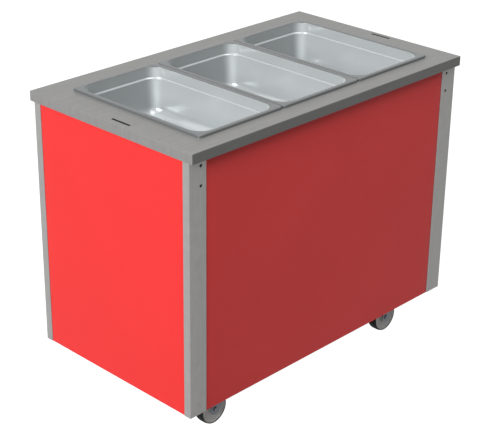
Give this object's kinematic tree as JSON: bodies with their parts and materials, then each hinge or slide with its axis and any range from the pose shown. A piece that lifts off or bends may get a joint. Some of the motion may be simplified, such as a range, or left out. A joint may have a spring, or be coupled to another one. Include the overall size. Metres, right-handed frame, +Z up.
{
  "type": "mobile bain marie",
  "caption": "Hot food counter on swivel casters: steel top with lift-out gastronorm pans over a heated wet well, red side panels, corner posts and a hinged-door cupboard.",
  "frame": {"origin": "on the floor under the middle of the worktop", "axes": "+X along the length, +Y towards the operator side with the doors, +Z up; the customer side faces -Y"},
  "size_m": [1.16, 0.68, 0.9285],
  "materials": {
    "worktop_steel": "satin",
    "pan_steel": "satin",
    "post_steel": "satin",
    "plain_steel": "satin",
    "panel_red": "satin",
    "panel_dark_red": "satin",
    "insulation": "matte",
    "element": "matte",
    "fastener": "satin",
    "black_plastic": "matte",
    "rocker": "gloss",
    "lamp": "gloss",
    "brass": "satin",
    "pipe_steel": "satin",
    "zinc": "satin",
    "wheel_grey": "satin",
    "tyre_black": "matte",
    "brake_steel": "satin"
  },
  "bodies": {
    "root": {"worktop": "worktop_steel", "well_tank": "plain_steel", "well_insulation": "insulation", "heating_elements": "element", "element_clamps": "fastener", "pan_support_bars": "worktop_steel", "customer_panel": "panel_dark_red", "chassis_rails": "plain_steel", "cupboard_floor": "plain_steel", "cupboard_shelf": "plain_steel", "shelf_brackets": "plain_steel", "cupboard_ceiling": "plain_steel", "door_sill": "plain_steel", "door_hinge_pins": "fastener", "door_catches": "black_plastic", "control_fascia": "plain_steel", "control_fascia_screws": "fastener", "control_housing": "plain_steel", "thermostat_body": "black_plastic", "indicator_lamps": "lamp", "mains_switch_frame": "black_plastic", "cable_gland": "black_plastic", "drain_pipe": "pipe_steel", "drain_valve": "brass", "caster_plates": "zinc", "caster_bolts": "fastener", "end_panel_left": "panel_red", "end_panel_right": "panel_red", "upright_socket_left": "worktop_steel", "upright_socket_right": "worktop_steel", "post_customer_left": "post_steel", "post_customer_right": "post_steel", "post_operator_left": "post_steel", "post_operator_right": "post_steel"},
    "pan_left": {"pan_left": "pan_steel"},
    "pan_centre": {"pan_centre": "pan_steel"},
    "pan_right": {"pan_right": "pan_steel"},
    "door_left": {"door_left": "plain_steel", "door_grip_left": "fastener"},
    "door_right": {"door_right": "plain_steel", "door_grip_right": "fastener"},
    "thermostat_knob": {"thermostat_knob": "black_plastic"},
    "mains_switch_rocker": {"mains_switch_rocker": "rocker"},
    "drain_lever": {"drain_lever": "black_plastic"},
    "caster_fork_customer_left": {"caster_fork_customer_left": "zinc"},
    "caster_wheel_customer_left": {"caster_wheel_customer_left": "wheel_grey", "caster_tyre_customer_left": "tyre_black"},
    "caster_fork_customer_right": {"caster_fork_customer_right": "zinc"},
    "caster_wheel_customer_right": {"caster_wheel_customer_right": "wheel_grey", "caster_tyre_customer_right": "tyre_black"},
    "caster_fork_operator_left": {"caster_fork_operator_left": "zinc"},
    "caster_wheel_operator_left": {"caster_wheel_operator_left": "wheel_grey", "caster_tyre_operator_left": "tyre_black"},
    "brake_pedal_operator_left": {"brake_pedal_operator_left": "brake_steel"},
    "caster_fork_operator_right": {"caster_fork_operator_right": "zinc"},
    "caster_wheel_operator_right": {"caster_wheel_operator_right": "wheel_grey", "caster_tyre_operator_right": "tyre_black"},
    "brake_pedal_operator_right": {"brake_pedal_operator_right": "brake_steel"}
  },
  "joints": [
    {"name": "pan_left_lift", "type": "slide", "parent": "root", "child": "pan_left", "axis": [0, 0, 1], "range_m": [0, 0.25]},
    {"name": "pan_centre_lift", "type": "slide", "parent": "root", "child": "pan_centre", "axis": [0, 0, 1], "range_m": [0, 0.25]},
    {"name": "pan_right_lift", "type": "slide", "parent": "root", "child": "pan_right", "axis": [0, 0, 1], "range_m": [0, 0.25]},
    {"name": "door_left_swing", "type": "hinge", "parent": "root", "child": "door_left", "pos_m": [-0.499, 0.314, 0.46], "axis": [0, 0, 1], "range_deg": [0, 110]},
    {"name": "door_right_swing", "type": "hinge", "parent": "root", "child": "door_right", "pos_m": [0.499, 0.314, 0.46], "axis": [0, 0, -1], "range_deg": [0, 110]},
    {"name": "thermostat_turn", "type": "hinge", "parent": "root", "child": "thermostat_knob", "pos_m": [-0.075, 0.32, 0.8345], "axis": [0, -1, 0], "range_deg": [0, 270]},
    {"name": "mains_switch_tip", "type": "hinge", "parent": "root", "child": "mains_switch_rocker", "pos_m": [0.08, 0.317, 0.8345], "axis": [1, 0, 0], "range_deg": [0, 20]},
    {"name": "drain_valve_turn", "type": "hinge", "parent": "root", "child": "drain_lever", "pos_m": [0.43, 0.1728, 0.6238], "axis": [0, -1, 0], "range_deg": [0, 90]},
    {"name": "caster_customer_left_swivel", "type": "hinge", "parent": "root", "child": "caster_fork_customer_left", "pos_m": [-0.397, -0.255, 0.11], "axis": [0, 0, 1], "continuous": true},
    {"name": "caster_customer_left_roll", "type": "hinge", "parent": "caster_fork_customer_left", "child": "caster_wheel_customer_left", "pos_m": [-0.43, -0.255, 0.05], "axis": [0, 1, 0], "continuous": true},
    {"name": "caster_customer_right_swivel", "type": "hinge", "parent": "root", "child": "caster_fork_customer_right", "pos_m": [0.397, -0.255, 0.11], "axis": [0, 0, 1], "continuous": true},
    {"name": "caster_customer_right_roll", "type": "hinge", "parent": "caster_fork_customer_right", "child": "caster_wheel_customer_right", "pos_m": [0.364, -0.255, 0.05], "axis": [0, 1, 0], "continuous": true},
    {"name": "caster_operator_left_swivel", "type": "hinge", "parent": "root", "child": "caster_fork_operator_left", "pos_m": [-0.397, 0.255, 0.11], "axis": [0, 0, 1], "continuous": true},
    {"name": "caster_operator_left_roll", "type": "hinge", "parent": "caster_fork_operator_left", "child": "caster_wheel_operator_left", "pos_m": [-0.43, 0.255, 0.05], "axis": [0, 1, 0], "continuous": true},
    {"name": "brake_operator_left_press", "type": "hinge", "parent": "caster_fork_operator_left", "child": "brake_pedal_operator_left", "pos_m": [-0.4757, 0.255, 0.08571], "axis": [0, -1, 0], "range_deg": [0, 15]},
    {"name": "caster_operator_right_swivel", "type": "hinge", "parent": "root", "child": "caster_fork_operator_right", "pos_m": [0.397, 0.255, 0.11], "axis": [0, 0, 1], "continuous": true},
    {"name": "caster_operator_right_roll", "type": "hinge", "parent": "caster_fork_operator_right", "child": "caster_wheel_operator_right", "pos_m": [0.364, 0.255, 0.05], "axis": [0, 1, 0], "continuous": true},
    {"name": "brake_operator_right_press", "type": "hinge", "parent": "caster_fork_operator_right", "child": "brake_pedal_operator_right", "pos_m": [0.31829, 0.255, 0.08571], "axis": [0, -1, 0], "range_deg": [0, 15]}
  ]
}
